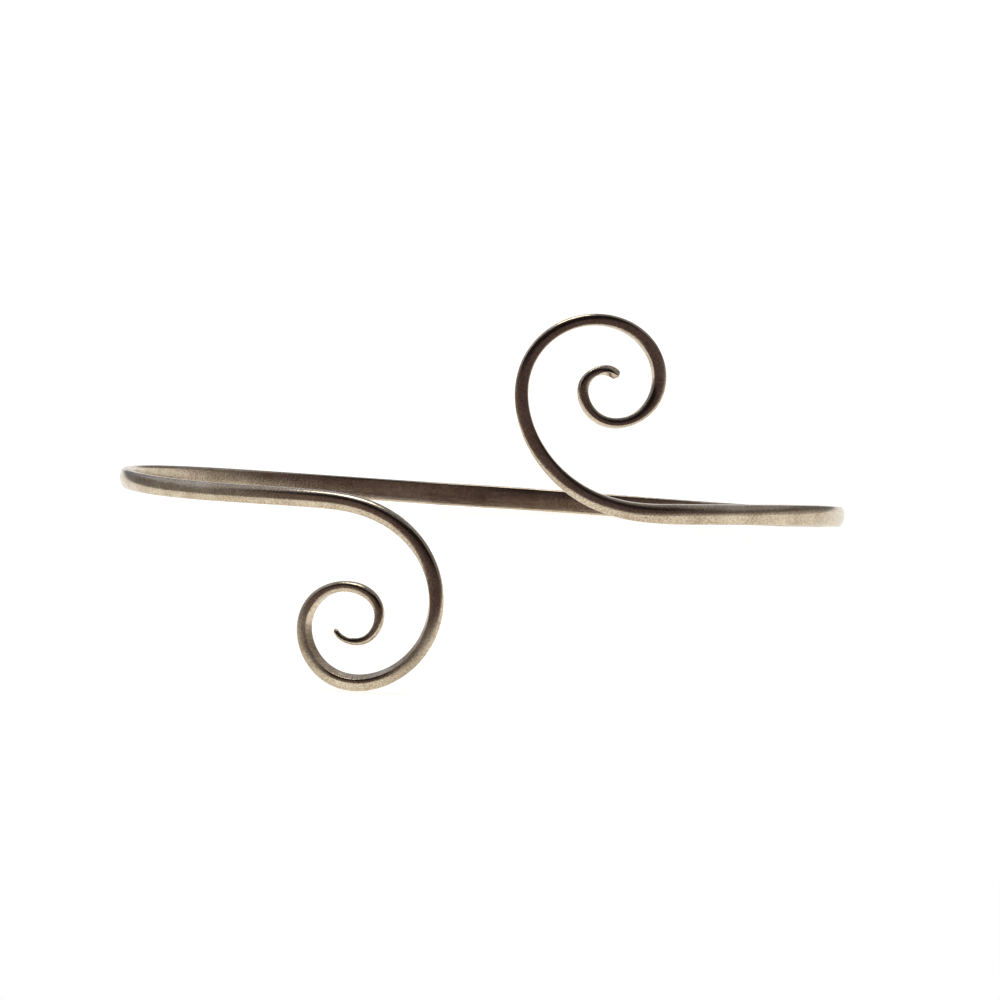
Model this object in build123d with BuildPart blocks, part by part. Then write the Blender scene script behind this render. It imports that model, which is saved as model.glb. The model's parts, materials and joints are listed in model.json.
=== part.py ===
from build123d import *
from collections import namedtuple
import os

import numpy as np

# Swirl cuff: one forged metal bar, round the back of an oval, forward along both sides,
# and out of each front arm into a scroll that lies on the oval's surface.
# The bar is first laid out on the oval that fits the wrist, and then turned as it rests
# on a table: on the back of the band and the bottom of the lower scroll.

# Oval of the band, in mm, over its outer faces
cuff_width = 63.0
cuff_depth = 50.0

# Section of the bar at the middle of the back
bar_height = 2.1
bar_thickness = 1.15
corner_share = 0.36  # corner radius, as a share of the section's smaller side

# Each tip is filed round over this length, down to a small flat end
tip_rounding = 0.25
tip_flat = 0.4  # the flat end's size, as a share of the section before the rounding

# Each half of the bar: where its arm turns into the scroll, measured round the oval from
# the middle of the front, the degrees that the arm slopes there, and the scroll's length
Half = namedtuple("Half", "side up root_from_front root_slope scroll_length")
lower_half = Half(side=-1, up=-1, root_from_front=14.7, root_slope=0.6, scroll_length=48.55)
upper_half = Half(side=1, up=1, root_from_front=16.7, root_slope=-1.9, scroll_length=51.1)

# Band, from the middle of the back to the root of the scroll.
# place: share of that run; level: how far the bar has wandered along the wrist, and
# height and thickness: its section, all as shares of the section at the back
BandRow = namedtuple("BandRow", "place level height thickness")
lower_band = [
    BandRow(0.00, 0.00, 1.00, 1.00),
    BandRow(0.36, 0.15, 0.91, 1.00),
    BandRow(0.60, 0.07, 0.81, 1.00),
    BandRow(0.80, -0.20, 0.75, 1.00),
    BandRow(1.00, -0.24, 0.71, 1.00),
]
upper_band = [
    BandRow(0.00, 0.00, 1.00, 1.00),
    BandRow(0.37, -0.07, 0.91, 1.00),
    BandRow(0.62, 0.14, 0.84, 1.00),
    BandRow(0.81, 0.18, 0.82, 1.00),
    BandRow(1.00, -0.03, 0.79, 1.00),
]

# Scroll, from its root to its tip, one row for each eighth of a turn and one or two more
# near the tip.
# along: share of the scroll's length; turned: degrees that the bar has turned by there;
# height, thickness: shares of the section at the back; twist: degrees that the bar's face
# is turned about its own line, towards the inside of the scroll
ScrollRow = namedtuple("ScrollRow", "along turned height thickness twist")
lower_scroll = [
    ScrollRow(0.000, 0, 0.71, 1.00, 5),
    ScrollRow(0.200, 45, 0.64, 0.99, 0),
    ScrollRow(0.324, 90, 0.58, 0.98, -12),
    ScrollRow(0.436, 135, 0.56, 0.98, -22),
    ScrollRow(0.539, 180, 0.62, 0.98, -26),
    ScrollRow(0.616, 225, 0.62, 0.97, -25),
    ScrollRow(0.687, 270, 0.50, 0.95, -17),
    ScrollRow(0.742, 315, 0.46, 0.92, -6),
    ScrollRow(0.804, 360, 0.42, 0.88, 4),
    ScrollRow(0.854, 405, 0.42, 0.84, 10),
    ScrollRow(0.889, 450, 0.37, 0.78, 13),
    ScrollRow(0.926, 495, 0.33, 0.70, 4),
    ScrollRow(0.957, 540, 0.28, 0.60, -7),
    ScrollRow(0.991, 589, 0.22, 0.48, -13),
    ScrollRow(1.000, 615, 0.20, 0.42, -14),
]
upper_scroll = [
    ScrollRow(0.000, 0, 0.79, 1.00, 0),
    ScrollRow(0.237, 45, 0.61, 0.97, -9),
    ScrollRow(0.376, 90, 0.54, 0.95, -7),
    ScrollRow(0.469, 135, 0.50, 0.93, -6),
    ScrollRow(0.566, 180, 0.47, 0.92, -5),
    ScrollRow(0.655, 225, 0.53, 0.92, 3),
    ScrollRow(0.722, 270, 0.53, 0.92, 6),
    ScrollRow(0.778, 315, 0.47, 0.90, 8),
    ScrollRow(0.838, 360, 0.39, 0.88, 10),
    ScrollRow(0.881, 405, 0.39, 0.86, 14),
    ScrollRow(0.920, 450, 0.39, 0.80, 18),
    ScrollRow(0.946, 495, 0.38, 0.70, 10),
    ScrollRow(0.976, 540, 0.35, 0.62, -12),
    ScrollRow(0.988, 564, 0.40, 0.62, -25),
    ScrollRow(1.000, 588, 0.38, 0.56, -28),
]

# Sections that the solid is lofted through: no two are further apart in mm, bend more
# in degrees or shrink more at a tip than this
longest_step = 9.0
largest_bend = 24.0
largest_shrink = 0.25

# How finely the oval and the bar are measured, for the bar's weight and its rest
oval_points = 3001
band_points = 600
scroll_points = 1800

# Where the search for the rest begins, in degrees that the front and the left are up, and
# its first and last stride
first_tilt = 18.0
first_roll = 0.0
first_stride = 4.0
last_stride = 0.0002


def smooth(at, places, values, start_slope=None, end_slope=None):
    """Cubic spline through values at places; an end with no slope given is left straight."""
    count = len(places)
    gaps = np.diff(places)
    slopes = np.diff(values) / gaps
    matrix = np.eye(count)
    target = np.zeros(count)
    for i in range(1, count - 1):
        matrix[i, i - 1 : i + 2] = gaps[i - 1], 2 * (gaps[i - 1] + gaps[i]), gaps[i]
        target[i] = 6 * (slopes[i] - slopes[i - 1])
    if start_slope is not None:
        matrix[0, :2] = 2 * gaps[0], gaps[0]
        target[0] = 6 * (slopes[0] - start_slope)
    if end_slope is not None:
        matrix[-1, -2:] = gaps[-1], 2 * gaps[-1]
        target[-1] = 6 * (end_slope - slopes[-1])
    bends = np.linalg.solve(matrix, target)
    i = np.clip(np.searchsorted(places, at, side="right") - 1, 0, count - 2)
    gap = gaps[i]
    after = (at - np.asarray(places)[i]) / gap
    before = 1 - after
    straight = before * np.asarray(values)[i] + after * np.asarray(values)[i + 1]
    curved = (before**3 - before) * bends[i] + (after**3 - after) * bends[i + 1]
    return straight + curved * gap**2 / 6


# Oval that the bar's centre line follows, measured once by its run from the back
oval_half_width = (cuff_width - bar_thickness) / 2
oval_half_depth = (cuff_depth - bar_thickness) / 2
oval_angles = np.linspace(0, 1.5 * np.pi, oval_points)
oval_x = oval_half_width * np.sin(oval_angles)
oval_y = oval_half_depth * np.cos(oval_angles)
oval_runs = np.append(0, np.cumsum(np.hypot(np.diff(oval_x), np.diff(oval_y))))
back_to_front = np.interp(np.pi, oval_angles, oval_runs)


def on_oval(run, height, side):
    """Points at a run round the oval from the back, and at a height along the wrist."""
    angle = np.interp(run, oval_runs, oval_angles)
    x = side * oval_half_width * np.sin(angle)
    y = oval_half_depth * np.cos(angle)
    outward = np.stack([x / oval_half_width**2, y / oval_half_depth**2, 0 * x], axis=1)
    outward /= np.linalg.norm(outward, axis=1, keepdims=True)
    return np.stack([x, y, height], axis=1), outward


def columns(rows):
    """A table's rows as one array for each of its columns."""
    return (np.array(column, dtype=float) for column in zip(*rows))


def half_bar(half, band, scroll):
    """One half of the bar, measured finely from the middle of the back to its tip."""
    root = back_to_front - half.root_from_front
    slope = half.up * np.tan(np.radians(half.root_slope))

    # Band: it starts level at the back, and wanders a little along the wrist
    place, level, height, thickness = columns(band)
    share = np.linspace(0, 1, band_points)
    band_run = share * root
    band_level = smooth(share, place, level * bar_height, 0, slope * root)
    band_height = smooth(share, place, height)
    band_thickness = smooth(share, place, thickness)

    # Scroll: the way that the bar heads, on the unrolled oval, follows its length smoothly
    along, turned, height, thickness, twist = columns(scroll)
    turned[0] = half.root_slope
    share = np.linspace(0, 1, scroll_points)
    heading = np.radians(smooth(share, along, turned, 0))
    step = half.scroll_length / (scroll_points - 1)
    middle = (heading[1:] + heading[:-1]) / 2
    scroll_run = root + np.cumsum(np.cos(middle)) * step
    scroll_level = band_level[-1] + half.up * np.cumsum(np.sin(middle)) * step
    scroll_height = smooth(share[1:], along, height)
    scroll_thickness = smooth(share[1:], along, thickness)
    scroll_twist = smooth(share[1:], along, twist, 0) * half.up

    # The band's face turns gently to meet the scroll's
    share = np.linspace(0, 1, band_points)
    band_twist = share**2 * (3 - 2 * share) * twist[0] * half.up

    points, outward = on_oval(
        np.append(band_run, scroll_run), np.append(band_level, scroll_level), half.side
    )
    heights = np.append(band_height, scroll_height) * bar_height
    thicknesses = np.append(band_thickness, scroll_thickness) * bar_thickness
    twists = np.append(band_twist, scroll_twist)
    return points, outward, heights, thicknesses, twists


def unit(vectors):
    """The same directions, one long."""
    return vectors / np.linalg.norm(vectors, axis=-1, keepdims=True)


# The whole bar, from the lower tip round the back to the upper tip
lower = half_bar(lower_half, lower_band, lower_scroll)
upper = half_bar(upper_half, upper_band, upper_scroll)
points, outward, heights, thicknesses, twists = (
    np.concatenate([left[::-1], right[1:]]) for left, right in zip(lower, upper)
)

# Rounded tips: the section shrinks along a quarter circle
steps = np.linalg.norm(np.gradient(points, axis=0), axis=1)
run = np.cumsum(steps) - steps[0]
from_tip = np.clip(np.minimum(run, run[-1] - run) / tip_rounding, 0, 1)
shrink = np.sqrt(1 - (1 - tip_flat**2) * (1 - from_tip) ** 2)
heights *= shrink
thicknesses *= shrink
corners = corner_share * np.minimum(heights, thicknesses)

# Directions at each section: onward along the bar, facing out of it, rising up its face
onward = unit(np.gradient(points, axis=0))
across = np.cross(onward, outward)
turn = np.radians(twists)[:, None]
facing = outward * np.cos(turn) + across * np.sin(turn)
rising = np.cross(onward, facing)

# Weight and centre of gravity, from the sections
areas = heights * thicknesses - (4 - np.pi) * corners**2
volume = np.sum(areas * steps)
centre = (areas * steps) @ points / volume


def reach(direction):
    """How far each section stands out from its middle in a direction."""
    out = np.abs(facing @ direction)
    up = np.abs(rising @ direction)
    rounded = corners * np.hypot(out, up)
    return out * (thicknesses / 2 - corners) + up * (heights / 2 - corners) + rounded


def upright(tilt, roll):
    """The direction that is up, when the front is raised by tilt and the left by roll."""
    tilt, roll = np.radians(tilt), np.radians(roll)
    return np.array([-np.sin(roll), -np.sin(tilt) * np.cos(roll), np.cos(tilt) * np.cos(roll)])


def centre_height(tilt, roll):
    """Height of the centre of gravity over the table."""
    up = upright(tilt, roll)
    return centre @ up - np.min(points @ up - reach(up))


def lowest(start, height):
    """The angle where a height is lowest, by strides that halve."""
    at, stride = start, first_stride
    while stride > last_stride:
        best = min((at, at - stride, at + stride), key=height)
        if best == at:
            stride /= 2
        at = best
    return at


def settled_tilt(roll):
    """The tilt that the bar falls to at a roll: the centre of gravity is lowest there."""
    return lowest(first_tilt, lambda tilt: centre_height(tilt, roll))


# The bar comes to rest where its centre of gravity is lowest, near the way it leans
# on the lower scroll and the back of the band
rest_roll = lowest(first_roll, lambda roll: centre_height(settled_tilt(roll), roll))
rest_tilt = settled_tilt(rest_roll)

up = upright(rest_tilt, rest_roll)
right = unit(np.array([1.0, 0.0, 0.0]) - up[0] * up)
table_axes = np.stack([right, np.cross(up, right), up])

# The table's frame: origin under the middle of the bar's box
high = np.array([np.max(points @ way + reach(way)) for way in table_axes])
low = np.array([np.min(points @ way - reach(way)) for way in table_axes])
origin = np.array([(low[0] + high[0]) / 2, (low[1] + high[1]) / 2, low[2]])
places = points @ table_axes.T - origin
facing_places = facing @ table_axes.T
onward_places = onward @ table_axes.T

# Sections, closer together where the bar bends or shrinks more
bends = np.degrees(np.linalg.norm(np.gradient(onward, axis=0), axis=1))
shrinks = np.abs(np.gradient(shrink))
measure = np.cumsum(steps / longest_step + bends / largest_bend + shrinks / largest_shrink)
count = int(np.ceil(measure[-1] - measure[0])) + 1
chosen = np.unique(np.searchsorted(measure, np.linspace(measure[0], measure[-1], count)))

with BuildPart() as swirl_cuff:
    for i in chosen:
        section = Plane(
            tuple(places[i]), x_dir=tuple(facing_places[i]), z_dir=tuple(onward_places[i])
        )
        with BuildSketch(section):
            RectangleRounded(thicknesses[i], heights[i], corners[i])
    loft()
swirl_cuff.part.label = "swirl_cuff"

os.makedirs("parts", exist_ok=True)
export_step(swirl_cuff.part, "parts/swirl_cuff.step")

wrist = -origin
print(f"sections {count}, volume {swirl_cuff.part.volume:.1f} of {volume:.1f} mm3")
print(f"rests with the front {rest_tilt:.2f} and the left {rest_roll:.2f} degrees up")
print("middle of the oval", np.round(wrist, 3), "wrist's line", np.round(table_axes[:, 2], 4))
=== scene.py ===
import json
import logging
from dataclasses import dataclass, replace
from enum import Enum
from math import atan, cos, pi, radians, sin, tan
from typing import Any, Iterable, NamedTuple, Sequence

import bpy
import numpy as np
from mathutils import Matrix, Vector


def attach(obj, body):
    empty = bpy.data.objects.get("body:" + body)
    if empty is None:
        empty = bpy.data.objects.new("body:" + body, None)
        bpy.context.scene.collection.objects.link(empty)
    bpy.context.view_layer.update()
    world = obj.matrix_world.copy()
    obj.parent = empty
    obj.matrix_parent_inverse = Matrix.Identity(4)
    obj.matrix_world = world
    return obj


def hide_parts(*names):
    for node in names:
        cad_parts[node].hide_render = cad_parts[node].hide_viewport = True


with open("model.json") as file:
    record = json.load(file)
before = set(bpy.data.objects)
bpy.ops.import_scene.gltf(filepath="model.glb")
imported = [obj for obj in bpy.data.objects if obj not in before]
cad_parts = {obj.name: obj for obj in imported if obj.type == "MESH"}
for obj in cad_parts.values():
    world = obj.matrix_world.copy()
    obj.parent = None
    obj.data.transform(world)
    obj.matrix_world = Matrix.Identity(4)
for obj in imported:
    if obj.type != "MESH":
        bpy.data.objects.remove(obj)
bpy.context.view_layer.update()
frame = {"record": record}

log = logging.getLogger("swirl_cuff")

Array = np.ndarray
Colour = tuple[float, float, float, float]

MM = 0.001  # metres in a millimetre
PICTURE_SIDE = 1000  # pixels along each side of the picture
SENSOR_WIDTH = 36.0  # mm, across the camera's sensor
BAR_PLACE = "bar_place"  # the attribute that holds a point's run, place outward and place up


# Small helpers


def linear(hex_colour: str) -> Colour:
    """Turn an sRGB hex colour into the linear colour that shaders use.

    The numbers are those of the sRGB standard's own curve.

    Args:
        hex_colour: six hex digits, such as "d6c4ac".

    Returns:
        Linear red, green and blue, and an alpha of 1.
    """
    parts = [int(hex_colour[i : i + 2], 16) / 255 for i in (0, 2, 4)]
    red, green, blue = (p / 12.92 if p <= 0.04045 else ((p + 0.055) / 1.055) ** 2.4 for p in parts)
    return red, green, blue, 1.0


def add_node(
    tree: bpy.types.NodeTree,
    kind: str,
    values: dict[Any, Any] | None = None,
    links: dict[Any, bpy.types.NodeSocket] | None = None,
    **settings: Any,
) -> bpy.types.Node:
    """Add a node to a tree, set it and link it.

    Args:
        tree: the material's or world's node tree.
        kind: the node's class name, such as "ShaderNodeTexNoise".
        values: constants, by the name or number of the input.
        links: output sockets to read from, by the name or number of the input.
        settings: the node's own properties.

    Returns:
        The new node.
    """
    node = tree.nodes.new(kind)
    for name, setting in settings.items():
        setattr(node, name, setting)
    for place, value in (values or {}).items():
        node.inputs[place].default_value = value
    for place, socket in (links or {}).items():
        tree.links.new(socket, node.inputs[place])
    return node


def calculate(
    tree: bpy.types.NodeTree, operation: str, *terms: bpy.types.NodeSocket | float
) -> bpy.types.NodeSocket:
    """Add a maths node.

    Args:
        tree: the material's or world's node tree.
        operation: the node's operation, such as "MULTIPLY".
        terms: its inputs in their order, each a socket to read from or a number.

    Returns:
        The socket that gives the result.
    """
    values = {i: term for i, term in enumerate(terms) if isinstance(term, float)}
    links = {i: term for i, term in enumerate(terms) if i not in values}
    return add_node(tree, "ShaderNodeMath", values, links, operation=operation).outputs[0]


def smooth_step(
    tree: bpy.types.NodeTree, value: bpy.types.NodeSocket, none: float, full: float
) -> bpy.types.NodeSocket:
    """Add a smooth step.

    Args:
        tree: the material's or world's node tree.
        value: the socket that gives the value.
        none: the value where the step is 0.
        full: the value where it is 1, over or under the other.

    Returns:
        The socket that gives the step.
    """
    return add_node(
        tree,
        "ShaderNodeMapRange",
        {"From Min": none, "From Max": full},
        {"Value": value},
        interpolation_type="SMOOTHSTEP",
    ).outputs[0]


def drawn_noise(
    tree: bpy.types.NodeTree,
    place: bpy.types.NodeSocket,
    length: float,
    width: float,
    detail: float,
    roughness: float,
) -> bpy.types.NodeSocket:
    """Add noise that is drawn out along the first axis.

    Args:
        tree: the material's node tree.
        place: the socket that gives the places, in mm.
        length: the size of its grains along the first axis.
        width: their size along the other two.
        detail: how many finer layers it has.
        roughness: how strong those are.

    Returns:
        The socket that gives the noise.
    """
    scale = (1 / length, 1 / width, 1 / width)
    drawn = add_node(tree, "ShaderNodeMapping", {"Scale": scale}, {"Vector": place})
    values = {"Scale": 1.0, "Detail": detail, "Roughness": roughness}
    return add_node(tree, "ShaderNodeTexNoise", values, {"Vector": drawn.outputs[0]}).outputs[0]


def blend(
    tree: bpy.types.NodeTree,
    share: bpy.types.NodeSocket,
    under: bpy.types.Node,
    over: bpy.types.Node,
) -> bpy.types.Node:
    """Mix two shaders: all of the first where the share is 0, and of the second where it is 1."""
    return add_node(
        tree,
        "ShaderNodeMixShader",
        links={0: share, 1: under.outputs[0], 2: over.outputs[0]},
    )


def empty_tree(owner: Any) -> bpy.types.NodeTree:
    """Switch an owner's nodes on and clear them, and return its tree."""
    owner.use_nodes = True
    owner.node_tree.nodes.clear()
    return owner.node_tree


def link_object(name: str, data: Any) -> bpy.types.Object:
    """Make an object of some data, and put it in the scene."""
    thing = bpy.data.objects.new(name, data)
    bpy.context.scene.collection.objects.link(thing)
    return thing


def unit(vectors: Array) -> Array:
    """The same directions, each divided by its own length."""
    return vectors / np.linalg.norm(vectors, axis=-1, keepdims=True)


def smooth(
    at: Array,
    places: Array,
    values: Array,
    start_slope: float | None = None,
    end_slope: float | None = None,
) -> Array:
    """Read a cubic spline through values at places.

    Between two places the value is the straight line plus a cubic whose second derivative
    runs straight from one place's bend to the next's. The bends solve the rows that make
    the slope meet at each place.

    Args:
        at: where to read it.
        places: rising places of the values.
        values: the values there.
        start_slope: slope at the first place, or None for no bend there.
        end_slope: slope at the last place, or None for no bend there.

    Returns:
        The spline's values.
    """
    count = len(places)
    gaps = np.diff(places)
    slopes = np.diff(values) / gaps
    matrix = np.eye(count)
    target = np.zeros(count)
    inner = np.arange(1, count - 1)
    matrix[inner, inner - 1] = gaps[:-1]
    matrix[inner, inner] = 2 * (gaps[:-1] + gaps[1:])
    matrix[inner, inner + 1] = gaps[1:]
    target[inner] = 6 * np.diff(slopes)
    if start_slope is not None:
        matrix[0, :2] = 2 * gaps[0], gaps[0]
        target[0] = 6 * (slopes[0] - start_slope)
    if end_slope is not None:
        matrix[-1, -2:] = gaps[-1], 2 * gaps[-1]
        target[-1] = 6 * (end_slope - slopes[-1])
    bends = np.linalg.solve(matrix, target)
    i = np.clip(np.searchsorted(places, at, side="right") - 1, 0, count - 2)
    after = (at - places[i]) / gaps[i]
    before = 1 - after
    curved = (before**3 - before) * bends[i] + (after**3 - after) * bends[i + 1]
    return before * values[i] + after * values[i + 1] + curved * gaps[i] ** 2 / 6


# The cuff's own frame


@dataclass(frozen=True)
class WristFrame:
    """The frame of the cuff's oval as it lies on the table: middle, right, back and along."""

    middle: Array
    right: Array
    back: Array
    along: Array

    @classmethod
    def from_record(cls, record: dict[str, Any]) -> "WristFrame":
        """Work the frame out from the record's wrist mount.

        The wrist's line is the third axis. The first is the table's X axis turned into
        the oval's plane about the table's Y axis, and the second completes the three.

        Args:
            record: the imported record.

        Returns:
            The frame, with its middle in millimetres.
        """
        mount = next(m for m in record["mounts"] if m["name"] == "wrist")
        along = unit(np.array(mount["axis"], dtype=float))
        right = unit(np.array([along[2], 0.0, -along[0]]))
        return cls(np.array(mount["pos_m"]) / MM, right, np.cross(along, right), along)

    def axes(self) -> Array:
        """The three axes as rows."""
        return np.stack([self.right, self.back, self.along])


# The bar


class BandRow(NamedTuple):
    """A place on the band, from the middle of the back to the scroll's root."""

    place: float  # share of the band's run round the oval
    level: float  # place along the wrist, as a share of the bar's height
    height: float  # of the section, as a share of the bar's own
    thickness: float


class ScrollRow(NamedTuple):
    """A place on a scroll, from its root to its tip."""

    along: float  # share of the scroll's length
    turned: float  # degrees that the bar has turned from level; the root's is its root_slope
    height: float  # of the section, as a share of the bar's own
    thickness: float
    twist: float  # degrees that the face is turned, toward the scroll's inside over 0
    dome: float = 0.88  # radius that the face is domed to, as a share of its height


class Hand(Enum):
    """Which way a half of the bar goes from the middle of the back, and which way it curls."""

    LEFT_AND_DOWN = (-1, -1)
    RIGHT_AND_UP = (1, 1)


@dataclass(frozen=True)
class Half:
    """One half of the bar, from the middle of the back to the tip of its scroll."""

    hand: Hand
    root_from_front: float  # mm round the oval from its front to the scroll's root
    root_slope: float  # degrees that the bar slopes at the root, toward its scroll's side
    scroll_length: float  # mm along the bar from the root to the tip
    unevenness: float  # how far its corners and edges go from even to those of ForgedBar
    band: tuple[BandRow, ...]
    scroll: tuple[ScrollRow, ...]


LOWER_HALF = Half(
    hand=Hand.LEFT_AND_DOWN,
    root_from_front=14.7,
    root_slope=0.6,
    scroll_length=48.55,
    unevenness=1.0,
    band=(
        BandRow(0.00, 0.00, 1.00, 1.00),
        BandRow(0.36, 0.15, 0.91, 1.00),
        BandRow(0.60, 0.07, 0.81, 1.00),
        BandRow(0.80, -0.20, 0.75, 1.00),
        BandRow(1.00, -0.24, 0.71, 1.00),
    ),
    scroll=(
        ScrollRow(0.000, 0, 0.71, 1.00, 5, 0.70),
        ScrollRow(0.200, 45, 0.64, 0.99, 0, 0.68),
        ScrollRow(0.324, 90, 0.58, 0.98, -12, 0.76),
        ScrollRow(0.436, 135, 0.55, 0.98, -25, 0.68),
        ScrollRow(0.539, 180, 0.60, 0.98, -32, 0.60),
        ScrollRow(0.616, 225, 0.60, 0.97, -30, 0.60),
        ScrollRow(0.687, 270, 0.50, 0.95, -19, 0.68),
        ScrollRow(0.742, 315, 0.46, 0.92, -6),
        ScrollRow(0.804, 360, 0.42, 0.88, 4),
        ScrollRow(0.854, 405, 0.42, 0.84, 2),
        ScrollRow(0.889, 450, 0.37, 0.78, 1),
        ScrollRow(0.926, 495, 0.33, 0.70, 2),
        ScrollRow(0.957, 540, 0.28, 0.60, 8),
        ScrollRow(0.991, 589, 0.22, 0.48, 14),
        ScrollRow(1.000, 615, 0.20, 0.42, 15),
    ),
)

UPPER_HALF = Half(
    hand=Hand.RIGHT_AND_UP,
    root_from_front=16.7,
    root_slope=-1.9,
    scroll_length=51.1,
    unevenness=0.55,
    band=(
        BandRow(0.00, 0.00, 1.00, 1.00),
        BandRow(0.37, -0.07, 0.91, 1.00),
        BandRow(0.62, 0.14, 0.84, 1.00),
        BandRow(0.81, 0.18, 0.82, 1.00),
        BandRow(1.00, -0.03, 0.79, 1.00),
    ),
    scroll=(
        ScrollRow(0.000, 0, 0.79, 1.00, -7, 0.68),
        ScrollRow(0.237, 45, 0.61, 0.97, -11, 0.72),
        ScrollRow(0.376, 90, 0.54, 0.95, -7),
        ScrollRow(0.469, 135, 0.50, 0.93, -6),
        ScrollRow(0.566, 180, 0.47, 0.92, -5),
        ScrollRow(0.655, 225, 0.53, 0.92, 3),
        ScrollRow(0.722, 270, 0.53, 0.92, 6),
        ScrollRow(0.778, 315, 0.47, 0.90, 8),
        ScrollRow(0.838, 360, 0.39, 0.88, 10),
        ScrollRow(0.881, 405, 0.39, 0.86, 8),
        ScrollRow(0.920, 450, 0.39, 0.80, 6),
        ScrollRow(0.946, 495, 0.38, 0.70, -4),
        ScrollRow(0.976, 540, 0.35, 0.62, -30),
        ScrollRow(0.988, 564, 0.40, 0.62, -44),
        ScrollRow(1.000, 588, 0.38, 0.56, -48),
    ),
)


@dataclass(frozen=True)
class Stations:
    """Places along the bar, in the oval's frame, with the bar's section at each, in mm."""

    middles: Array
    outward: Array
    heights: Array
    thicknesses: Array
    twists: Array  # degrees
    leans: Array  # 1 where the round corners are on the rising side, -1 the other, 0 even
    domes: Array  # shares of the heights

    def joined(self, other: "Stations") -> "Stations":
        """This half from its tip to the back, and the other from the back to its tip."""
        pairs = zip(self.columns(), other.columns())
        return Stations(*(np.concatenate([mine[::-1], its[1:]]) for mine, its in pairs))

    def columns(self) -> tuple[Array, ...]:
        """The seven arrays."""
        section = self.heights, self.thicknesses, self.twists, self.leans, self.domes
        return self.middles, self.outward, *section

    def at(self, runs: Array, run: Array) -> "Stations":
        """The same bar read at other runs, each column in straight lines between its places."""

        def read(column: Array) -> Array:
            flat = column.reshape(len(runs), -1)
            values = np.stack([np.interp(run, runs, c) for c in flat.T], axis=1)
            return values.reshape((len(run),) + column.shape[1:])

        return Stations(*(read(column) for column in self.columns()))

    def runs(self) -> Array:
        """Length along the bar from its first place to each."""
        steps = np.linalg.norm(np.diff(self.middles, axis=0), axis=1)
        return np.append(0, np.cumsum(steps))


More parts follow.
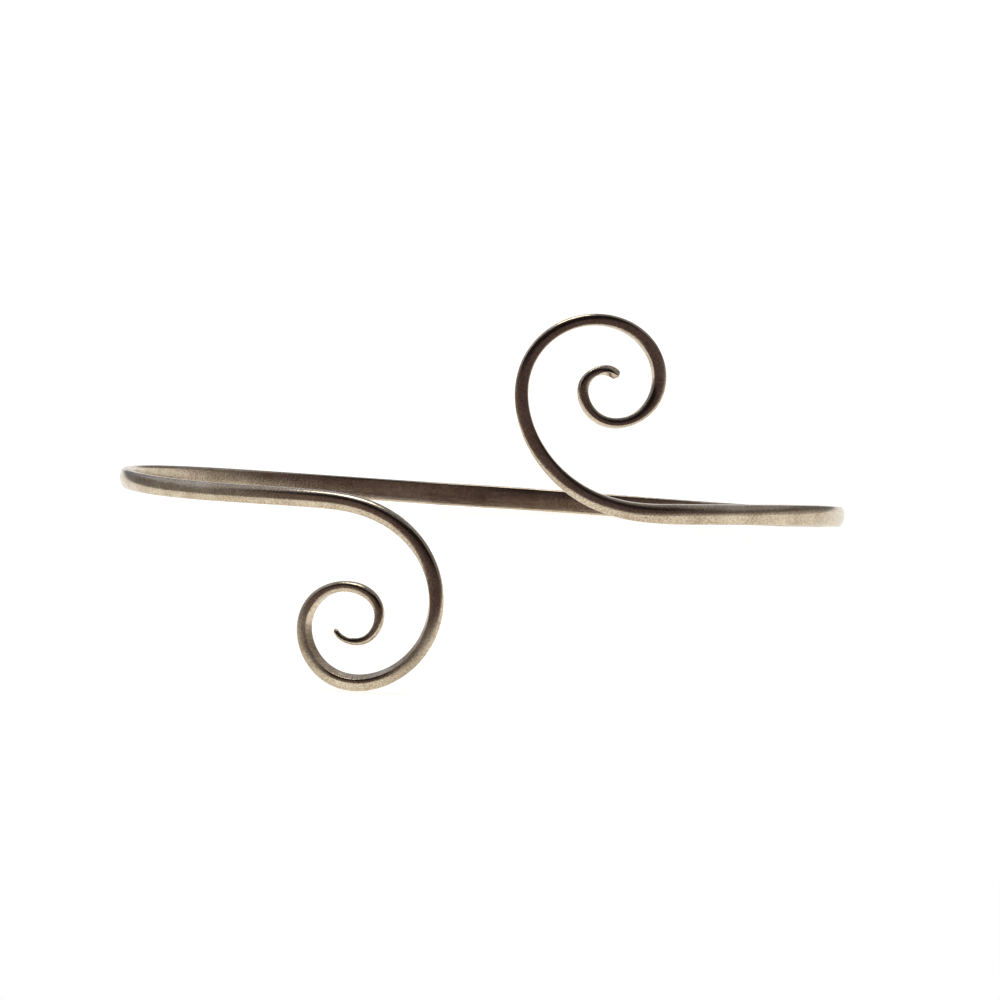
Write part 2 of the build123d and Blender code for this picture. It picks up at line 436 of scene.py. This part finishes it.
@dataclass(frozen=True)
class ForgedBar:
    """The cuff's one bar: its oval, its section, its two halves and how it was worked."""

    # the oval over the bar, and the bar's section at the middle of the back, in mm
    cuff_width: float = 63.0
    cuff_depth: float = 50.0
    height: float = 2.1
    thickness: float = 1.15
    # corner radii as shares of the smaller side: the scroll's outer side is beaten round on
    # the anvil, its inner side less, and the back of the band stays crisp
    round_corner: float = 0.42
    inner_corner: float = 0.07
    crisp_corner: float = 0.12
    # radius that each side is domed to, as a share of its own length: the hammer leaves the
    # outer face domed as the rows say, and the mandrel leaves the inner one nearly flat
    inner_dome: float = 4.0
    edge_dome: float = 2.1
    inner_edge_dome: float = 7.0  # of the scroll's inner side, which the file leaves flatter
    # each tip narrows over its last stretch, in mm, to a flat end, which is a share of the
    # section, and closes in a dome, which stands out by a share of the thickness
    tip_rounding: float = 0.25
    tip_flat: float = 0.4
    tip_bulge: float = 0.15
    lower: Half = LOWER_HALF
    upper: Half = UPPER_HALF
    # how far the filed and hammered surface lies under the solid's, in mm
    inset: float = 0.004
    dent_depth: float = 0.005
    dent_lengths: tuple[float, ...] = (3.7, 5.9, 9.4)
    dent_slant: float = 2.2  # radians of a wave for each mm across the section, at most
    dent_seed: int = 11
    # mesh: spacing along the bar in mm, steps over half a flat side and over a corner,
    # sections over a tip's narrowing and rings over its end
    spacing: float = 0.22
    side_steps: int = 7
    corner_steps: int = 8
    tip_sections: int = 8
    cap_rings: int = 5
    # how finely the oval, a half's band and its scroll are laid out to be measured
    oval_steps: int = 3000
    band_samples: int = 600
    scroll_samples: int = 1800

    def oval_sizes(self) -> tuple[float, float]:
        """Half the width and half the depth of the oval of the bar's middle line."""
        return (self.cuff_width - self.thickness) / 2, (self.cuff_depth - self.thickness) / 2

    def oval_lengths(self) -> tuple[Array, Array]:
        """Angles from the middle of the back past the front, and the length round to each."""
        a, b = self.oval_sizes()
        angles = np.linspace(0, 1.5 * pi, self.oval_steps + 1)
        steps = np.hypot(np.diff(a * np.sin(angles)), np.diff(b * np.cos(angles)))
        return angles, np.append(0, np.cumsum(steps))

    def on_oval(self, run: Array, level: Array, side: int) -> tuple[Array, Array]:
        """Points on the oval of the bar's middle line.

        The angle for a run is read from the ellipse's length, summed over fine steps. The
        point is (side a sin, b cos, level) and outward is the ellipse's own normal there.

        Args:
            run: length round the oval from the middle of the back.
            level: height along the wrist.
            side: -1 for the left half, 1 for the right.

        Returns:
            The points, and the outward directions.
        """
        a, b = self.oval_sizes()
        angles, lengths = self.oval_lengths()
        angle = np.interp(run, lengths, angles)
        x, y = side * a * np.sin(angle), b * np.cos(angle)
        return np.stack([x, y, level], axis=1), unit(np.stack([x / a**2, y / b**2, 0 * x], axis=1))

    def back_to_front(self) -> float:
        """Half the oval's length, summed over fine steps."""
        angles, lengths = self.oval_lengths()
        return float(np.interp(pi, angles, lengths))

    def half_stations(self, half: Half) -> Stations:
        """Lay one half out finely, from the middle of the back to its tip.

        On the unrolled oval the band is a height read from its spline, and the scroll goes
        on by steps whose heading is the spline of the degrees it has turned: run is the
        sum of the steps' cosines, and level the sum of their sines.

        Args:
            half: the half to lay out.

        Returns:
            Its stations.
        """
        side, up = half.hand.value
        root = self.back_to_front() - half.root_from_front
        slope = up * tan(radians(half.root_slope))

        place, level, height, thickness = np.array(half.band, dtype=float).T
        share = np.linspace(0, 1, self.band_samples)
        band_level = smooth(share, place, level * self.height, 0, slope * root)
        sections = smooth(share, place, height), smooth(share, place, thickness)
        band = share * root, band_level, *sections
        # The twist and the uneven corners come in along the band
        ease = share**2 * (3 - 2 * share)

        along, turned, height, thickness, twist, dome = np.array(half.scroll, dtype=float).T
        turned[0] = half.root_slope
        share = np.linspace(0, 1, self.scroll_samples)
        heading = np.radians(smooth(share, along, turned, 0))
        step = half.scroll_length / (len(share) - 1)
        middle = (heading[1:] + heading[:-1]) / 2
        share = share[1:]
        scroll = (
            root + np.cumsum(np.cos(middle)) * step,
            band_level[-1] + up * np.cumsum(np.sin(middle)) * step,
            smooth(share, along, height),
            smooth(share, along, thickness),
        )
        run, level, heights, thicknesses = (np.append(b, s) for b, s in zip(band, scroll))
        points, outward = self.on_oval(run, level, side)
        twists = np.append(ease * twist[0], smooth(share, along, twist, 0)) * up
        leans = -up * half.unevenness * np.append(ease, np.ones(len(share)))
        domes = np.append(np.full(len(ease), dome[0]), smooth(share, along, dome))
        heights, thicknesses = heights * self.height, thicknesses * self.thickness
        return Stations(points, outward, heights, thicknesses, twists, leans, domes)

    def stations(self) -> Stations:
        """The whole bar from the lower tip to the upper, evenly spaced but closer at its tips."""
        fine = self.half_stations(self.lower).joined(self.half_stations(self.upper))
        runs = fine.runs()
        length = runs[-1]
        count = int(length / self.spacing)
        tip = self.tip_rounding * (1 - np.cos(np.linspace(0, pi / 2, self.tip_sections)))
        middle = np.linspace(self.tip_rounding, length - self.tip_rounding, count)[1:-1]
        run = np.concatenate([tip, middle, (length - tip)[::-1]])
        stations = fine.at(runs, run)

        # The section shrinks along a quarter circle at each tip
        from_tip = np.clip(np.minimum(run, length - run) / self.tip_rounding, 0, 1)
        shrink = np.sqrt(1 - (1 - self.tip_flat**2) * (1 - from_tip) ** 2)
        return replace(
            stations,
            outward=unit(stations.outward),
            heights=stations.heights * shrink,
            thicknesses=stations.thicknesses * shrink,
        )

    def quarter(
        self, heights: Array, thicknesses: Array, share: Array, edge_dome: Array, dome: Array
    ) -> tuple[Array, Array, Array]:
        """One quarter of the section, from the middle of a face to the middle of the upper edge.

        The corner is an arc of the corner's radius, and each side a flatter arc that meets
        it and just reaches the full size at its middle. A side turns by
        crown = arcsin((half side - radius) / dome's radius) before its corner. With its rise
        t = tan(crown / 2), the corner's centre is where
        out = half out - radius - t_face up and up = half up - radius - t_edge out.

        Args:
            heights: the sections' heights.
            thicknesses: the sections' thicknesses.
            share: the corners' radii, as shares of the smaller side.
            edge_dome: the radii that the edges are domed to, as shares of the thicknesses.
            dome: the radii that the faces are domed to, as shares of the heights.

        Returns:
            Places out and up from the middle, and the normals' angles from straight out, as
            arrays of one row for each station and one column for each point.
        """
        radius = (share * np.minimum(heights, thicknesses))[:, None]
        half_out = thicknesses[:, None] / 2 - self.inset
        half_up = heights[:, None] / 2 - self.inset
        face = np.arcsin((half_up - radius) / (dome * heights)[:, None])
        edge = np.arcsin((half_out - radius) / (edge_dome * thicknesses)[:, None])
        rise_out, rise_up = np.tan(face / 2), np.tan(edge / 2)
        centre_out = (half_out - radius - rise_out * (half_up - radius)) / (1 - rise_out * rise_up)
        centre_up = half_up - radius - rise_up * centre_out

        on_side = np.linspace(0, 1, self.side_steps + 1)
        on_face = face * on_side[:-1]
        on_corner = face + (pi / 2 - edge - face) * np.linspace(0, 1, self.corner_steps + 1)
        on_edge = pi / 2 - edge * (1 - on_side[1:])
        face_radius = (centre_up + radius * np.sin(face)) / np.sin(face)
        edge_radius = (centre_out + radius * np.sin(edge)) / np.sin(edge)
        out = [
            half_out - face_radius * (1 - np.cos(on_face)),
            centre_out + radius * np.cos(on_corner),
            edge_radius * np.cos(on_edge),
        ]
        up = [
            face_radius * np.sin(on_face),
            centre_up + radius * np.sin(on_corner),
            half_up - edge_radius * (1 - np.sin(on_edge)),
        ]
        angle = np.concatenate([on_face, on_corner, on_edge], axis=1)
        return np.concatenate(out, axis=1), np.concatenate(up, axis=1), angle

    def profile(self, stations: Stations) -> tuple[Array, Array, Array, Array]:
        """The whole section at each station: a domed outer half and a flatter inner one.

        Each side, above and below, is a quarter from the outer face to the edge and a
        mirrored one from the edge to the inner face. The points that two quarters share
        are kept once.

        Args:
            stations: the places along the bar.

        Returns:
            Places outward and up from the middle, and the normals' two parts, as arrays of
            one row for each station and one column for each point round the section.
        """
        outs, ups, angles = [], [], []
        for way in (1, -1):
            lean = way * stations.leans
            corners = self.inner_corner, self.crisp_corner, self.round_corner
            share = np.interp(lean, (-1, 0, 1), corners)
            edge_dome = np.interp(lean, (-1, 0), (self.inner_edge_dome, self.edge_dome))
            sizes = stations.heights, stations.thicknesses, share, edge_dome
            out, up, angle = self.quarter(*sizes, stations.domes)
            inner_domes = np.full(len(share), self.inner_dome)
            inner_out, inner_up, inner_angle = self.quarter(*sizes, inner_domes)
            outs.append(np.concatenate([out, -inner_out[:, -2::-1]], axis=1))
            ups.append(np.concatenate([up, inner_up[:, -2::-1]], axis=1) * way)
            angles.append(np.concatenate([angle, pi - inner_angle[:, -2::-1]], axis=1) * way)
        out, up, angle = (
            np.concatenate([above, below[:, -2:0:-1]], axis=1)
            for above, below in (outs, ups, angles)
        )
        return out, up, np.cos(angle), np.sin(angle)

    def dents(self, run: Array, out: Array, up: Array) -> Array:
        """How deep the hammer and the file have left the surface, between 0 and dent_depth.

        The sum of a few slow waves along the bar, each with its own phase on each side of
        the section and a little slant across it, brought to 0 to 1.

        Args:
            run: length along the bar, a column.
            out: place outward in the section.
            up: place up in the section.

        Returns:
            The depths in mm.
        """
        random = np.random.default_rng(self.dent_seed)
        total = np.zeros(np.broadcast(run, out).shape)
        for length in self.dent_lengths:
            phase = random.uniform(0, 2 * pi)
            slant_out, slant_up = random.uniform(-self.dent_slant, self.dent_slant, 2)
            total += np.sin(2 * pi * run / length + phase + slant_out * out + slant_up * up)
        return self.dent_depth * (0.5 + 0.5 * total / len(self.dent_lengths))

    def surface(self, wrist: WristFrame) -> tuple[Array, Array, Array]:
        """Carry the section along the bar.

        A point is the station's middle, plus its place outward along facing and up along
        rising. Facing is the oval's outward direction turned by the twist about the bar,
        and rising is onward crossed with facing. The dents pull each point in along its
        normal.

        Args:
            wrist: the oval's frame on the table.

        Returns:
            The grid of points in metres, the two end points in metres, and the grid of
            places (run, outward, up) in mm that the finish reads.
        """
        stations = self.stations()
        onward = unit(np.gradient(stations.middles, axis=0))
        ahead = np.sum(stations.outward * onward, axis=1, keepdims=True)
        outward = unit(stations.outward - ahead * onward)
        across = np.cross(onward, outward)
        turn = np.radians(stations.twists)[:, None]
        facing = outward * np.cos(turn) + across * np.sin(turn)
        rising = np.cross(onward, facing)

        out, up, normal_out, normal_up = self.profile(stations)
        run = stations.runs()[:, None]
        size = (np.minimum(stations.heights, stations.thicknesses) / self.thickness)[:, None]
        depth = self.dents(run, out, up) * size
        out, up = out - depth * normal_out, up - depth * normal_up
        grid = out[..., None] * facing[:, None] + up[..., None] * rising[:, None]
        grid += stations.middles[:, None]
        places = np.stack([run + 0 * out, out, up], axis=2)

        # The small flat ends close through rings that shrink on a shallow dome
        share = np.sin(np.linspace(0, pi / 2, self.cap_rings + 2))[1:-1]
        ends, caps, cap_places = [], [], []
        for tip, way in ((0, -1), (-1, 1)):
            middle = stations.middles[tip]
            bulge = self.tip_bulge * stations.thicknesses[tip] * way * onward[tip]
            rings = middle + (grid[tip] - middle) * np.sqrt(1 - share**2)[:, None, None]
            caps.append(rings + share[:, None, None] * bulge)
            cap_places.append(places[tip] * np.ones((len(share), 1, 1)))
            ends.append(middle + bulge)
        grid = np.concatenate([caps[0][::-1], grid, caps[1]])
        places = np.concatenate([cap_places[0][::-1], places, cap_places[1]])
        return (
            (grid @ wrist.axes() + wrist.middle) * MM,
            (np.array(ends) @ wrist.axes() + wrist.middle) * MM,
            places,
        )

    def build(self, wrist: WristFrame) -> bpy.types.Object:
        """Make the bar's mesh: quads round and along the grid, and a fan at each end.

        Args:
            wrist: the oval's frame on the table.

        Returns:
            The bar, with its own attribute of places along and round it.
        """
        grid, ends, places = self.surface(wrist)
        rings, around = grid.shape[:2]
        index = np.arange(rings * around).reshape(rings, around)
        ahead = np.roll(index, -1, axis=1)
        quads = np.stack([index[:-1], ahead[:-1], ahead[1:], index[1:]], axis=2).reshape(-1, 4)
        first, last = rings * around, rings * around + 1
        start = np.stack([np.full(around, first), ahead[0], index[0]], axis=1)
        end = np.stack([np.full(around, last), index[-1], ahead[-1]], axis=1)

        mesh = bpy.data.meshes.new("swirl_bar")
        points = np.concatenate([grid.reshape(-1, 3), ends])
        mesh.from_pydata(points.tolist(), [], quads.tolist() + start.tolist() + end.tolist())
        mesh.polygons.foreach_set("use_smooth", np.ones(len(mesh.polygons), dtype=bool))
        values = np.concatenate([places.reshape(-1, 3), places[[0, -1]].mean(axis=1)])
        attribute = mesh.attributes.new(BAR_PLACE, "FLOAT_VECTOR", "POINT")
        attribute.data.foreach_set("vector", values.astype(np.float32).ravel())
        mesh.update()
        mesh.validate()
        return link_object("swirl_bar", mesh)


# Finishes


@dataclass(frozen=True)
class AntiqueSilver:
    """Sterling silver, forged, filed and brushed along the bar, and left to tarnish warm.

    It gives the eye a warm grey mirror that is a little soft: broad reflections stay whole
    but break up in fine streaks along the bar, and pale places are sandy with the marks
    of the abrasive.
    """

    metal: str = "d6c8b0"
    tarnish: str = "a08e74"
    roughness: float = 0.15
    rough_patches: float = 0.1
    streak_width: float = 0.22  # mm; real file streaks are 0.02 to 0.05 mm, too fine to show
    streak_length: float = 5.0  # mm
    streak_depth: float = 0.0025  # mm
    scratch_width: float = 0.13  # mm; drawn coarser than the real 0.03 mm, to show
    scratch_length: float = 0.5  # mm
    scratch_slant: float = 58.0  # degrees from the bar's line
    scratch_depth: float = 0.016  # mm, where it is rubbed to satin
    polished_share: float = 0.35  # of that depth, everywhere else
    patch_size: float = 2.6  # mm
    scratch_share: float = 0.62  # of the colour's changes; the patches make the rest
    # where the mix of both noises is all tarnish, and where it is all metal
    colour_range: tuple[float, float] = (0.36, 0.62)
    # where the streaks' noise gives the least roughness, and where the most
    streak_range: tuple[float, float] = (0.3, 0.7)
    # stretches rubbed to satin, which blur what they mirror: where each starts, is whole,
    # starts to fade and ends, in mm from the lower tip
    satin: tuple[tuple[float, float, float, float], ...] = (
        (13.0, 15.5, 18.5, 21.0),
        (24.5, 27.0, 30.0, 33.0),
    )
    satin_roughness: float = 0.26

    def satin_share(
        self, tree: bpy.types.NodeTree, place: bpy.types.NodeSocket
    ) -> bpy.types.NodeSocket:
        """Add the share of satin: the sum of each stretch's rise times its fall along the bar.

        Args:
            tree: the material's node tree.
            place: the socket that gives the places on the bar.

        Returns:
            The socket that gives the share, from 0 to 1.
        """
        run = add_node(tree, "ShaderNodeSeparateXYZ", links={0: place}).outputs["X"]
        total = None
        for start, whole, fade, end in self.satin:
            rise = smooth_step(tree, run, start, whole)
            fall = smooth_step(tree, run, end, fade)
            stretch = calculate(tree, "MULTIPLY", rise, fall)
            total = stretch if total is None else calculate(tree, "ADD", total, stretch)
        return total

    def build(self) -> bpy.types.Material:
        """Make the material."""
        material = bpy.data.materials.new("sterling_silver_forged_and_brushed")
        tree = empty_tree(material)
        place = add_node(tree, "ShaderNodeAttribute", attribute_name=BAR_PLACE).outputs["Vector"]

        # Streaks along the bar, scratches on a slant across it, and soft patches of tarnish
        streaks = drawn_noise(
            tree, place, self.streak_length, self.streak_width, detail=3.0, roughness=0.6
        )
        slant = {"Rotation": (0, 0, radians(self.scratch_slant))}
        slanting = add_node(tree, "ShaderNodeMapping", slant, {"Vector": place}).outputs[0]
        scratches = drawn_noise(
            tree, slanting, self.scratch_length, self.scratch_width, detail=2.0, roughness=0.5
        )
        patches = drawn_noise(
            tree, place, self.patch_size, self.patch_size, detail=3.0, roughness=0.5
        )

        # The tarnish lies in the patches, and darker in the scratches
        wear = add_node(
            tree, "ShaderNodeMix", {"Factor": self.scratch_share}, {"A": patches, "B": scratches}
        )
        colour = add_node(tree, "ShaderNodeValToRGB", links={0: wear.outputs[0]})
        stops = zip(colour.color_ramp.elements, self.colour_range, (self.tarnish, self.metal))
        for stop, position, shade in stops:
            stop.position = position
            stop.color = linear(shade)

        # The streaks vary the roughness, and the satin adds to it and deepens the scratches
        least, most = self.streak_range
        roughness = add_node(
            tree,
            "ShaderNodeMapRange",
            {
                "From Min": least,
                "From Max": most,
                "To Min": self.roughness,
                "To Max": self.roughness + self.rough_patches,
            },
            {"Value": streaks},
        ).outputs[0]
        satin = self.satin_share(tree, place)
        blurred = calculate(tree, "MULTIPLY_ADD", satin, self.satin_roughness, roughness)
        strength = calculate(
            tree, "MULTIPLY_ADD", satin, 1 - self.polished_share, self.polished_share
        )
        scratched = add_node(
            tree,
            "ShaderNodeBump",
            {"Distance": self.scratch_depth * MM},
            {"Strength": strength, "Height": scratches},
        ).outputs[0]
        streaked = add_node(
            tree,
            "ShaderNodeBump",
            {"Strength": 1.0, "Distance": self.streak_depth * MM},
            {"Height": streaks, "Normal": scratched},
        ).outputs[0]
        shader = add_node(
            tree,
            "ShaderNodeBsdfPrincipled",
            {"Metallic": 1.0},
            {"Base Color": colour.outputs[0], "Roughness": blurred, "Normal": streaked},
        )
        add_node(tree, "ShaderNodeOutputMaterial", links={"Surface": shader.outputs[0]})
        return material


@dataclass(frozen=True)
class StudioPaper:
    """Seamless background paper, matt and white: it gives the eye an even pale ground."""

    colour: str = "b6b4b1"  # under white, which it reaches with its glow
    glow_colour: str = "fbfaf8"
    roughness: float = 0.9
    glow: float = 0.9  # light that comes from under it, as on a light table

    def build(self) -> bpy.types.Material:
        """Make the material."""
        material = bpy.data.materials.new("background_paper_matt")
        tree = empty_tree(material)
        shader = add_node(
            tree,
            "ShaderNodeBsdfPrincipled",
            {
                "Base Color": linear(self.colour),
                "Roughness": self.roughness,
                "Emission Color": linear(self.glow_colour),
                "Emission Strength": self.glow,
            },
        )
        add_node(tree, "ShaderNodeOutputMaterial", links={"Surface": shader.outputs[0]})
        return material


# Sub-assemblies


@dataclass(frozen=True)
class SwirlCuff:
    """The whole cuff: the one forged bar and its finish."""

    bar: ForgedBar = ForgedBar()
    finish: AntiqueSilver = AntiqueSilver()

    def build(self, wrist: WristFrame) -> Iterable[bpy.types.Object]:
        """Build and dress the bar, and put it in the solid's place.

        Args:
            wrist: the oval's frame on the table.

        Returns:
            The pieces made.
        """
        piece = self.bar.build(wrist)
        piece.data.materials.append(self.finish.build())
        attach(piece, "root")
        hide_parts("swirl_cuff")
        return [piece]


@dataclass(frozen=True)
class SoftBox:
    """A studio light with an even oblong face: its place and size in metres, and its watts."""

    name: str
    place: tuple[float, float, float]
    size: tuple[float, float]
    power: float
    colour: str = "ffffff"

    def build(self, target: Sequence[float]) -> None:
        """Make the light, turned to face the target."""
        data = bpy.data.lights.new(self.name, "AREA")
        data.shape = "RECTANGLE"
        data.size, data.size_y = self.size
        data.energy = self.power
        data.color = linear(self.colour)[:3]
        light = link_object(self.name, data)
        away = Vector(self.place) - Vector(target)
        turn = away.to_track_quat("Z", "Y").to_matrix().to_4x4()
        light.matrix_world = Matrix.Translation(self.place) @ turn


@dataclass(frozen=True)
class RoomPatch:
    """A part of the room in one colour, with the degrees where it starts and where it is whole."""

    colour: str
    turned: tuple[float, float] | None = None  # from straight ahead, to either side
    aside: tuple[float, float] | None = None  # to the right of the middle, or to the left below 0
    over: tuple[float, float] | None = None  # over the horizon

    def add(
        self,
        tree: bpy.types.NodeTree,
        under: bpy.types.Node,
        angles: dict[str, bpy.types.NodeSocket],
    ) -> bpy.types.Node:
        """Lay the patch over the shader so far, by the product of its smooth steps.

        Args:
            tree: the world's node tree.
            under: the shader so far.
            angles: the sockets that give the three angles in radians, by name.

        Returns:
            The shader with the patch.
        """
        share = None
        for name, ends in (("turned", self.turned), ("aside", self.aside), ("over", self.over)):
            if ends:
                step = smooth_step(tree, angles[name], *map(radians, ends))
                share = step if share is None else calculate(tree, "MULTIPLY", share, step)
        light = add_node(tree, "ShaderNodeBackground", {"Color": linear(self.colour)})
        return blend(tree, share, under, light)


@dataclass(frozen=True)
class Surroundings:
    """The room that the metal mirrors: brown ahead and black over it, grey behind and overhead.

    Ahead is toward the camera, as the cuff's front faces.
    """

    background: str = "ffffff"
    ahead: str = "5e4f54"
    patches: tuple[RoomPatch, ...] = (
        RoomPatch("70605f", aside=(-8.0, -38.0)),
        RoomPatch("1e191c", over=(19.0, 30.0)),
        RoomPatch("6c6763", turned=(58.0, 88.0)),
        RoomPatch("a6a6b0", turned=(70.0, 96.0), over=(10.0, 26.0)),
        RoomPatch("84848c", turned=(110.0, 145.0)),
        RoomPatch("aeb0bd", turned=(110.0, 145.0), over=(12.0, 28.0)),
        RoomPatch("8f8c8c", aside=(-40.0, -70.0), over=(30.0, 4.0)),
        RoomPatch("c2c5d6", turned=(66.0, 102.0), aside=(8.0, -35.0), over=(4.0, 24.0)),
        RoomPatch("cac6c8", aside=(36.0, 64.0), over=(9.0, -3.0)),
        RoomPatch("80828e", over=(54.0, 62.0)),
    )

    def build(self) -> None:
        """Light the world by direction, each patch over the last.

        The angle from straight ahead is the arctangent of X over -Y, the angle to the right
        the arcsine of X, and the height over the horizon the arcsine of Z. The picture's own
        background stays plain.
        """
        world = bpy.data.worlds.new("studio_room")
        bpy.context.scene.world = world
        tree = empty_tree(world)
        way = add_node(tree, "ShaderNodeTexCoord").outputs["Generated"]
        parts = add_node(tree, "ShaderNodeSeparateXYZ", links={0: way}).outputs
        ahead = calculate(tree, "MULTIPLY", parts["Y"], -1.0)
        angles = {
            "turned": calculate(tree, "ABSOLUTE", calculate(tree, "ARCTAN2", parts["X"], ahead)),
            "aside": calculate(tree, "ARCSINE", parts["X"]),
            "over": calculate(tree, "ARCSINE", parts["Z"]),
        }
        shader = add_node(tree, "ShaderNodeBackground", {"Color": linear(self.ahead)})
        for patch in self.patches:
            shader = patch.add(tree, shader, angles)
        seen = add_node(tree, "ShaderNodeLightPath").outputs["Is Camera Ray"]
        plain = add_node(tree, "ShaderNodeBackground", {"Color": linear(self.background)})
        mixed = blend(tree, seen, shader, plain)
        add_node(tree, "ShaderNodeOutputWorld", links={"Surface": mixed.outputs[0]})


@dataclass(frozen=True)
class PhotoCamera:
    """The camera at the photograph's angle, placed by the cuff's own frame."""

    distance: float = 450.0  # mm from the oval's middle
    scale: float = 0.08687  # mm to a pixel at the oval's middle
    azimuth: float = 0.292  # degrees about the wrist's line
    elevation: float = 0.644  # degrees over the oval's plane
    roll: float = 3.390  # degrees that the picture is turned
    middle: tuple[float, float] = (481.68, 498.86)  # the oval's middle in the picture
    seen: tuple[float, float] = (0.01, 20.0)  # metres; the nearest and the farthest it shows

    def build(self, wrist: WristFrame) -> None:
        """Make the camera and set it as the scene's.

        Forward is the oval's back direction turned by the azimuth and dipped by the
        elevation, and right and up are turned about it by the roll. The camera stands
        the distance back from the oval's middle, and is then turned by the small angles
        that put that middle at its own place in the picture.

        Args:
            wrist: the oval's frame on the table.
        """
        az, el, roll = radians(self.azimuth), radians(self.elevation), radians(self.roll)
        right = np.array([cos(az), -sin(az), 0.0])
        up = np.array([sin(az) * sin(el), cos(az) * sin(el), cos(el)])
        forward = np.array([sin(az) * cos(el), cos(az) * cos(el), -sin(el)])
        right, up = cos(roll) * right + sin(roll) * up, cos(roll) * up - sin(roll) * right
        right, up, forward = (part @ wrist.axes() for part in (right, up, forward))
        place = (wrist.middle - self.distance * forward) * MM

        focal = self.distance / self.scale  # in pixels
        aside, below = (at - (PICTURE_SIDE - 1) / 2 for at in self.middle)
        pan = Matrix.Rotation(atan(aside / focal), 3, "Y")
        tilt = Matrix.Rotation(atan(below / focal), 3, "X")
        basis = Matrix(np.stack([right, up, -forward], axis=1).tolist()) @ pan @ tilt

        data = bpy.data.cameras.new("photo_camera")
        data.sensor_width = SENSOR_WIDTH
        data.lens = focal * SENSOR_WIDTH / PICTURE_SIDE
        data.clip_start, data.clip_end = self.seen
        camera = link_object("photo_camera", data)
        camera.matrix_world = Matrix.Translation(place.tolist()) @ basis.to_4x4()
        bpy.context.scene.camera = camera


@dataclass(frozen=True)
class Studio:
    """Floor, lights and surroundings."""

    # the sheet, in metres: it ends near the front and the sides, where the metal then
    # mirrors the darker room
    floor_across: tuple[float, float] = (-0.07, 0.1)
    floor_along: tuple[float, float] = (-0.07, 1.5)
    aim: tuple[float, float, float] = (0.0, 0.0, 0.01)  # where the lights face, in metres
    paper: StudioPaper = StudioPaper()
    surroundings: Surroundings = Surroundings()
    boxes: tuple[SoftBox, ...] = (SoftBox("back_box", (-0.07, 0.22, 0.97), (0.5, 0.5), 3.5),)

    def build(self) -> None:
        """Lay the floor as one quad under the cuff, and set the lights round it."""
        left, right = self.floor_across
        front, back = self.floor_along
        corners = [(left, front, 0), (right, front, 0), (right, back, 0), (left, back, 0)]
        mesh = bpy.data.meshes.new("studio_floor")
        mesh.from_pydata(corners, [], [(0, 1, 2, 3)])
        mesh.materials.append(self.paper.build())
        link_object("studio_floor", mesh)
        for box in self.boxes:
            box.build(self.aim)
        self.surroundings.build()
        bpy.context.scene.view_settings.view_transform = "Standard"


def main() -> None:
    """Build the cuff, the studio and the camera."""
    logging.basicConfig(level=logging.INFO, format="%(name)s: %(message)s")
    wrist = WristFrame.from_record(frame["record"])
    for piece in SwirlCuff().build(wrist):
        log.info("%s: %d faces", piece.name, len(piece.data.polygons))
    Studio().build()
    PhotoCamera().build(wrist)
    log.info("studio and camera stand")


if __name__ == "__main__":
    main()
